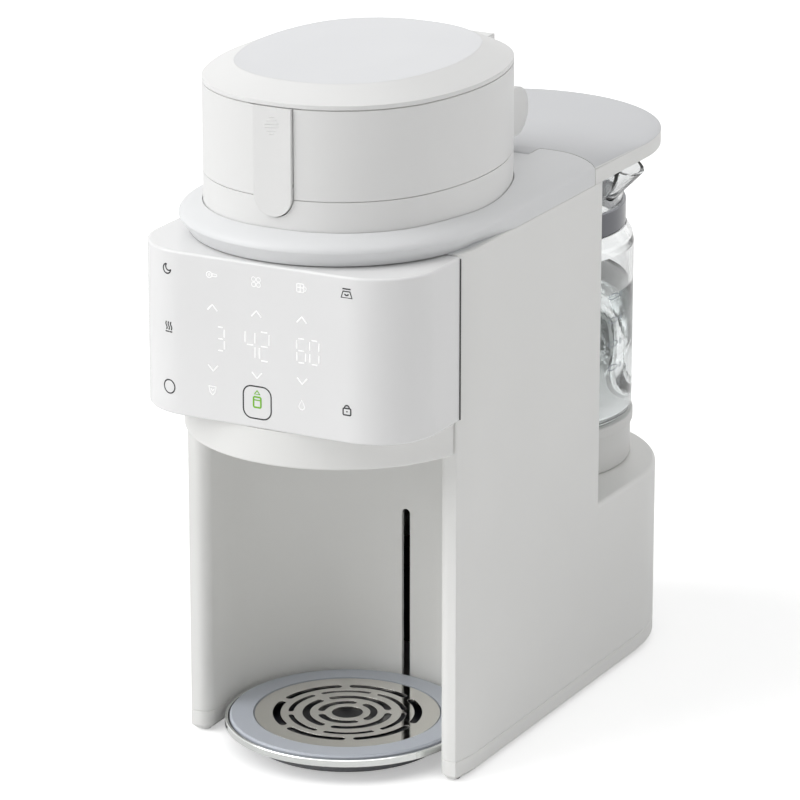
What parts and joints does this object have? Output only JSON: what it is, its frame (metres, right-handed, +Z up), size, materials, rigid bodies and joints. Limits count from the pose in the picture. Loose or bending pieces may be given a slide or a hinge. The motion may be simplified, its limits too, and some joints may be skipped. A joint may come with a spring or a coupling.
{
  "type": "baby_formula_maker",
  "caption": "countertop baby formula maker with an open bottle bay, height-adjustable drip tray, lidded powder canister on the deck and a removable glass kettle at the rear",
  "frame": {"origin": "on the table, in the middle of the whole outline including the kettle handle", "axes": "+Z up, the front with the bottle bay faces -Y, +X to the right seen from the front"},
  "size_m": [0.195, 0.392, 0.4086],
  "materials": {
    "white_shell": "fine satin moulding",
    "white_gloss": "gloss",
    "canister_white": "satin",
    "pale_trim": "satin",
    "seal_rubber": "soft silicone",
    "foot_rubber": "soft",
    "steel_rod": "polished",
    "dark_plastic": "fine texture",
    "board_green": "solder mask",
    "motor_steel": "zinc plated",
    "gear_plastic": "acetal",
    "chrome_lip": "bright",
    "ring_grey": "satin",
    "grill_steel": "polished",
    "ring_light_grey": "satin",
    "clear_glass": "clear borosilicate",
    "dark_chrome": "dark bright",
    "handle_black": "satin",
    "cap_plastic": "satin"
  },
  "bodies": {
    "housing": {"base_pan": "white_shell", "left_bay_skirt": "white_shell", "right_bay_skirt": "white_shell", "rubber_feet": "foot_rubber", "left_side_shell": "white_shell", "right_side_shell": "white_shell", "column_back": "white_shell", "bay_liner": "white_shell", "tray_guide_rod": "steel_rod", "cord_gland": "seal_rubber", "water_pump": "dark_plastic", "main_board": "board_green", "dispenser_head": "white_shell", "powder_chute": "pale_trim", "water_nozzle": "steel_rod", "control_panel": "white_gloss", "display_board": "board_green", "front_deck": "white_shell", "rear_lid_pin": "steel_rod", "gear_shelf": "dark_plastic", "dosing_motor": "motor_steel"},
    "rear_lid": {"rear_lid": "white_shell", "rear_lid_liner": "pale_trim"},
    "canister": {"canister_band": "canister_white", "hopper_floor": "pale_trim", "canister_body": "canister_white", "canister_gasket": "seal_rubber", "canister_hinge_pin": "steel_rod", "latch_pin": "steel_rod"},
    "canister_lid": {"canister_lid": "canister_white", "lid_plate": "canister_white", "lid_liner": "pale_trim"},
    "latch": {"latch_lever": "canister_white"},
    "dosing_wheel": {"dosing_wheel": "gear_plastic", "agitator": "gear_plastic"},
    "drive_gear": {"drive_gear": "gear_plastic"},
    "motor_pinion": {"motor_pinion": "gear_plastic"},
    "tray_carriage": {"tray_carriage": "dark_plastic"},
    "drip_dish": {"drip_dish": "dark_plastic", "dish_lip": "chrome_lip", "dish_ring": "ring_grey"},
    "grill": {"grill": "grill_steel"},
    "kettle": {"kettle_base": "pale_trim", "kettle_ring": "ring_light_grey", "kettle_glass": "clear_glass", "kettle_collar": "dark_chrome", "kettle_handle": "handle_black", "kettle_cap": "cap_plastic", "suction_tube": "steel_rod"}
  },
  "joints": [
    {"name": "rear_lid_hinge", "type": "hinge", "parent": "housing", "child": "rear_lid", "pos_m": [0.0075, 0.0255, 0.3259], "axis": [1, 0, 0], "range_deg": [0, 45]},
    {"name": "canister_lift", "type": "slide", "parent": "housing", "child": "canister", "axis": [0, 0, 1], "range_m": [0, 0.09]},
    {"name": "canister_lid_hinge", "type": "hinge", "parent": "canister", "child": "canister_lid", "pos_m": [0.0075, 0.015, 0.3563], "axis": [-1, 0, 0], "range_deg": [0, 70]},
    {"name": "latch_press", "type": "hinge", "parent": "canister", "child": "latch", "pos_m": [0.0075, -0.1785, 0.354], "axis": [-1, 0, 0], "range_deg": [0, 2.4], "stiffness_Nm_per_rad": 0.6},
    {"name": "dosing_turn", "type": "hinge", "parent": "canister", "child": "dosing_wheel", "pos_m": [0.0075, -0.0649, 0.332], "axis": [0, 0, 1], "continuous": true},
    {"name": "drive_gear_turn", "type": "hinge", "parent": "housing", "child": "drive_gear", "pos_m": [0.0075, -0.0649, 0.307], "axis": [0, 0, 1], "continuous": true},
    {"name": "motor_pinion_turn", "type": "hinge", "parent": "housing", "child": "motor_pinion", "pos_m": [0.0075, -0.0369, 0.307], "axis": [0, 0, 1], "continuous": true},
    {"name": "tray_height", "type": "slide", "parent": "housing", "child": "tray_carriage", "axis": [0, 0, 1], "range_m": [0, 0.095]},
    {"name": "dish_lift", "type": "slide", "parent": "tray_carriage", "child": "drip_dish", "axis": [0, 0, 1], "range_m": [0, 0.03]},
    {"name": "grill_lift", "type": "slide", "parent": "drip_dish", "child": "grill", "axis": [0, 0, 1], "range_m": [0, 0.02]},
    {"name": "kettle_out", "type": "slide", "parent": "housing", "child": "kettle", "axis": [0, 1, 0], "range_m": [0, 0.17]}
  ],
  "couplings": [
    {"joint": "drive_gear_turn", "follows": "dosing_turn", "ratio": 1},
    {"joint": "motor_pinion_turn", "follows": "dosing_turn", "ratio": -2.5}
  ]
}
